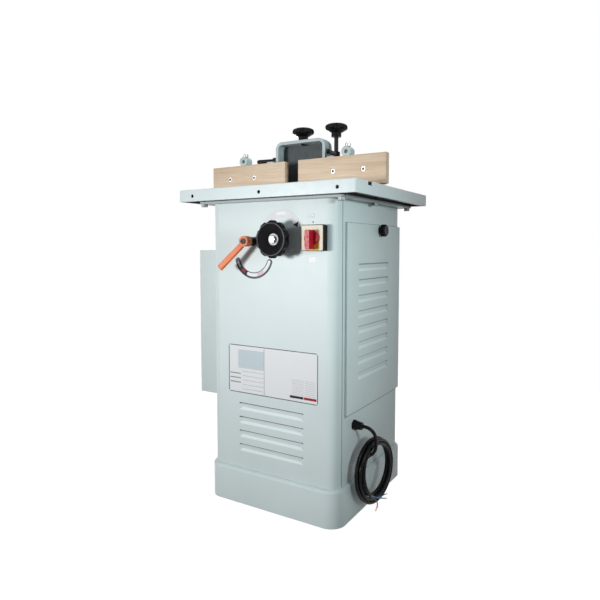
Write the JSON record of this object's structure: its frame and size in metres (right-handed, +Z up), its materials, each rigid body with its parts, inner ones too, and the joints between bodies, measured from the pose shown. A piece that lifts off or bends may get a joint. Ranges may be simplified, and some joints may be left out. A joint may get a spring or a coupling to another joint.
{
  "type": "spindle moulder",
  "caption": "Floor-standing spindle moulder: cast table with a mitre slot, split wooden fence under a chip hood, louvred steel cabinet, lift handwheel, lock lever and rotary switch.",
  "frame": {"origin": "middle of the plinth's underside, at the centre of its floor bolt holes", "axes": "+Z up along the spindle, +X to the operator's right, the front with the controls faces -Y"},
  "size_m": [0.5645, 0.463, 0.985],
  "materials": {
    "cabinet_paint": "smooth semi-gloss enamel",
    "plinth_paint": "smooth semi-gloss enamel",
    "table_iron": "ground top, painted edges",
    "ring_steel": "turned",
    "casting_paint": "painted casting",
    "raw_iron": "machined casting",
    "black_plastic": "moulded satin black",
    "orange_lever": "powder coat",
    "red_plastic": "moulded gloss",
    "cream_plate": "printed plate",
    "white_plastic": "moulded gloss",
    "oak": "planed and oiled",
    "bright_steel": "ground and turned",
    "zinc_steel": "zinc plated",
    "dark_steel": "blackened",
    "bronze": "bored",
    "motor_alloy": "cast and painted",
    "belt_rubber": "moulded",
    "cord_rubber": "smooth sheath",
    "core_insulation": "coloured insulation"
  },
  "bodies": {
    "root": {"plinth": "plinth_paint", "front_panel": "cabinet_paint", "cabinet_shell": "cabinet_paint", "top_plate": "cabinet_paint", "table": "table_iron", "table_bolts": "zinc_steel", "outer_table_ring": "ring_steel", "inner_table_ring": "ring_steel", "motor_cover": "cabinet_paint", "cover_screws": "zinc_steel", "cord_gland": "black_plastic", "cord_lead": "cord_rubber", "cord_coil": "cord_rubber", "cord_cores": "core_insulation", "switch_case": "black_plastic", "switch_plate": "cream_plate", "hole_plug": "white_plastic", "spindle_housing": "raw_iron", "housing_bolts": "zinc_steel", "shaft_bushes": "bronze", "lock_nut": "bright_steel", "lock_spacer": "black_plastic", "fence_bolts": "zinc_steel"},
    "quill": {"quill": "raw_iron", "quill_rack": "bright_steel", "bearings": "bright_steel", "drive_belt": "belt_rubber", "motor_bracket": "raw_iron", "motor_body": "motor_alloy", "motor_fan_cover": "motor_alloy", "motor_bolts": "zinc_steel"},
    "spindle": {"spindle": "bright_steel", "spindle_collars": "bright_steel", "spindle_nut": "bright_steel", "spindle_pulley": "raw_iron"},
    "rotor": {"motor_shaft": "bright_steel", "motor_pulley": "raw_iron"},
    "handwheel": {"pinion_shaft": "bright_steel", "handwheel": "black_plastic", "handwheel_nut": "bright_steel"},
    "lock": {"lock_bolt": "bright_steel", "lock_lever": "orange_lever", "lock_lever_screw": "dark_steel"},
    "switch_knob": {"switch_knob": "red_plastic"},
    "access_panel": {"access_panel": "cabinet_paint"},
    "access_knob": {"access_knob": "black_plastic"},
    "fence": {"fence_casting": "casting_paint", "fence_studs": "dark_steel"},
    "hood_knob": {"hood_knob": "black_plastic"},
    "infeed_knob": {"infeed_knob": "black_plastic"},
    "left_clamp": {"left_clamp_lever": "black_plastic"},
    "right_clamp": {"right_clamp_lever": "black_plastic"},
    "left_carrier": {"left_carrier": "casting_paint"},
    "right_carrier": {"right_carrier": "casting_paint"},
    "left_board": {"left_board": "oak", "left_board_screws": "zinc_steel"},
    "right_board": {"right_board": "oak", "right_board_screws": "zinc_steel"},
    "left_boss_screw": {"left_boss_screw": "zinc_steel"},
    "right_boss_screw": {"right_boss_screw": "zinc_steel"}
  },
  "joints": [
    {"name": "spindle_lift", "type": "slide", "parent": "root", "child": "quill", "axis": [0, 0, 1], "range_m": [0, 0.075]},
    {"name": "spindle_spin", "type": "hinge", "parent": "quill", "child": "spindle", "pos_m": [0, -0.055, 0.6], "axis": [0, 0, 1], "continuous": true},
    {"name": "motor_spin", "type": "hinge", "parent": "quill", "child": "rotor", "pos_m": [-0.215, -0.035, 0.45], "axis": [0, 0, 1], "continuous": true},
    {"name": "handwheel_turn", "type": "hinge", "parent": "root", "child": "handwheel", "pos_m": [0.037, -0.2, 0.685], "axis": [0, 1, 0], "range_deg": [-5, 485]},
    {"name": "lock_turn", "type": "hinge", "parent": "root", "child": "lock", "pos_m": [-0.05, -0.2, 0.681], "axis": [0, 1, 0], "range_deg": [-50, 20]},
    {"name": "switch_turn", "type": "hinge", "parent": "root", "child": "switch_knob", "pos_m": [0.133, -0.215, 0.688], "axis": [0, 1, 0], "range_deg": [0, 90]},
    {"name": "access_tilt", "type": "hinge", "parent": "root", "child": "access_panel", "pos_m": [0.1877, 0, 0.261], "axis": [0, 1, 0], "range_deg": [0, 25]},
    {"name": "access_knob_turn", "type": "hinge", "parent": "access_panel", "child": "access_knob", "pos_m": [0.2, 0.04, 0.711], "axis": [1, 0, 0], "continuous": true},
    {"name": "fence_slide", "type": "slide", "parent": "root", "child": "fence", "axis": [0, 1, 0], "range_m": [-0.01, 0.03]},
    {"name": "hood_knob_turn", "type": "hinge", "parent": "fence", "child": "hood_knob", "pos_m": [0, -0.0365, 0.96], "axis": [0, 0, 1], "continuous": true},
    {"name": "infeed_knob_turn", "type": "hinge", "parent": "fence", "child": "infeed_knob", "pos_m": [0.1, -0.036, 0.96], "axis": [0, 0, 1], "continuous": true},
    {"name": "left_clamp_turn", "type": "hinge", "parent": "fence", "child": "left_clamp", "pos_m": [-0.088, -0.036, 0.906], "axis": [0, 0, 1], "range_deg": [-80, 0]},
    {"name": "right_clamp_turn", "type": "hinge", "parent": "fence", "child": "right_clamp", "pos_m": [0.1, -0.036, 0.906], "axis": [0, 0, 1], "range_deg": [-38, 20]},
    {"name": "left_carrier_slide", "type": "slide", "parent": "fence", "child": "left_carrier", "axis": [0, 1, 0], "range_m": [-0.004, 0.006]},
    {"name": "right_carrier_slide", "type": "slide", "parent": "fence", "child": "right_carrier", "axis": [0, 1, 0], "range_m": [-0.004, 0.006]},
    {"name": "left_board_slide", "type": "slide", "parent": "left_carrier", "child": "left_board", "axis": [-1, 0, 0], "range_m": [-0.003, 0.03]},
    {"name": "right_board_slide", "type": "slide", "parent": "right_carrier", "child": "right_board", "axis": [1, 0, 0], "range_m": [-0.003, 0.03]},
    {"name": "left_boss_screw_turn", "type": "hinge", "parent": "left_carrier", "child": "left_boss_screw", "pos_m": [-0.171, -0.0658, 0.92], "axis": [0, 0, 1], "continuous": true},
    {"name": "right_boss_screw_turn", "type": "hinge", "parent": "right_carrier", "child": "right_boss_screw", "pos_m": [0.149, -0.0658, 0.92], "axis": [0, 0, 1], "continuous": true}
  ],
  "couplings": [
    {"joint": "handwheel_turn", "follows": "spindle_lift", "rad_per_m": 111.11},
    {"joint": "motor_spin", "follows": "spindle_spin", "ratio": 0.42308}
  ]
}
